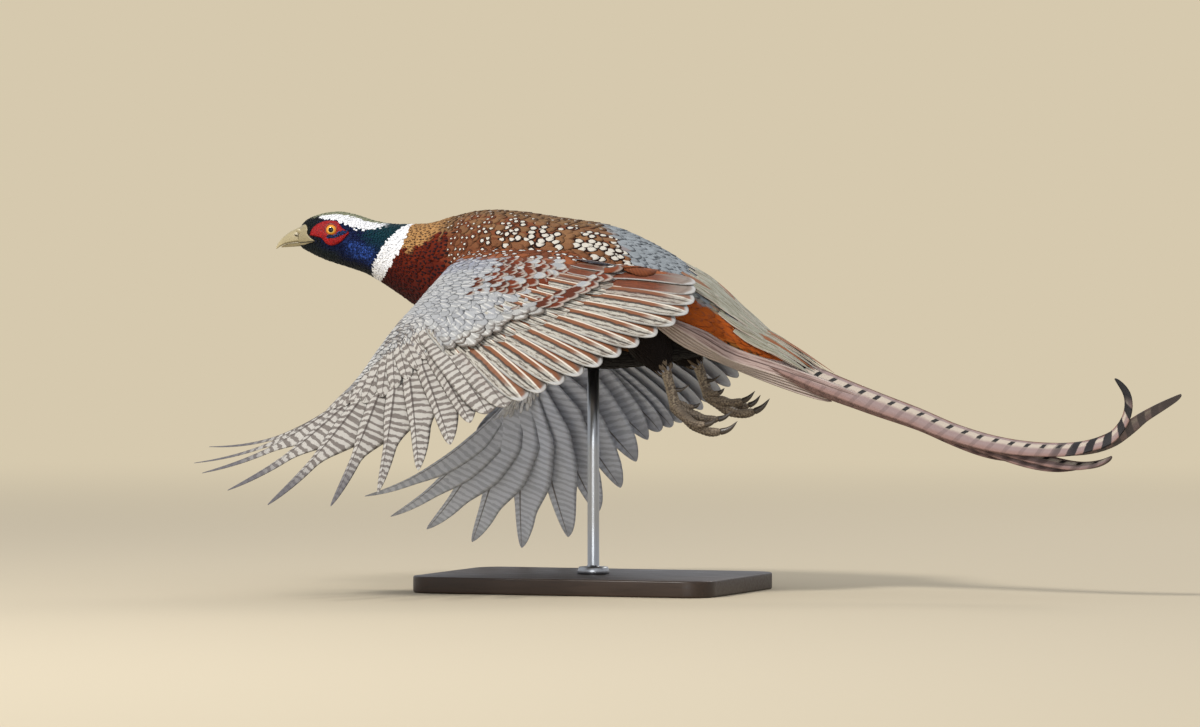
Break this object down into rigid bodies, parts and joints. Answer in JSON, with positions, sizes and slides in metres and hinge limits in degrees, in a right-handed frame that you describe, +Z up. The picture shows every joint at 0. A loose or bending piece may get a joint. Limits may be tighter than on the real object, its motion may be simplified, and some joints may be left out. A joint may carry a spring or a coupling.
{
  "type": "common pheasant",
  "caption": "Life-size model of a cock ring-necked pheasant in level flapping flight with its wings half down and legs trailing, held over a flat base by one rod.",
  "frame": {"origin": "on the underside of the display base, in the sagittal plane of the body, below the middle of the base plate", "axes": "+Z up, -X the way the bird flies (bill end), +X the tail end, -Y its left side"},
  "size_m": [0.8025, 0.6105, 0.3239],
  "materials": {
    "bill_horn": "pale yellow-green horn",
    "body_feather": "golden and chestnut feathers with dark and cream marks",
    "breast_feather": "coppery maroon feathers with dark edges",
    "claw": "dark glossy horn",
    "eye": "wet orange iris with a black pupil",
    "head_feather": "iridescent blue-green feathers",
    "leg_skin": "brown-grey scaled skin",
    "ring_feather": "short white feathers",
    "stand_metal": "brushed",
    "stand_plate": "dark stained and waxed",
    "tail_feather": "buff feathers with dark bars",
    "thigh_feather": "dark brown feathers",
    "wattle_skin": "bare red pimpled skin",
    "wing_feather": "barred brown-grey feathers"
  },
  "bodies": {
    "root": {"bill_lower": "bill_horn", "bill_upper": "bill_horn", "claw_left_hallux": "claw", "claw_left_inner": "claw", "claw_left_middle": "claw", "claw_left_outer": "claw", "claw_right_hallux": "claw", "claw_right_inner": "claw", "claw_right_middle": "claw", "claw_right_outer": "claw", "collar": "ring_feather", "eye_left": "eye", "eye_right": "eye", "foot_left": "leg_skin", "foot_right": "leg_skin", "head": "head_feather", "neck": "breast_feather", "stand_base": "stand_plate", "stand_rod": "stand_metal", "tail": "tail_feather", "tarsus_left": "leg_skin", "tarsus_right": "leg_skin", "thigh_left": "thigh_feather", "thigh_right": "thigh_feather", "torso": "body_feather", "wattle_left": "wattle_skin", "wattle_right": "wattle_skin", "wing_left_hand": "wing_feather", "wing_left_inner": "wing_feather", "wing_right_hand": "wing_feather", "wing_right_inner": "wing_feather"}
  },
  "joints": []
}
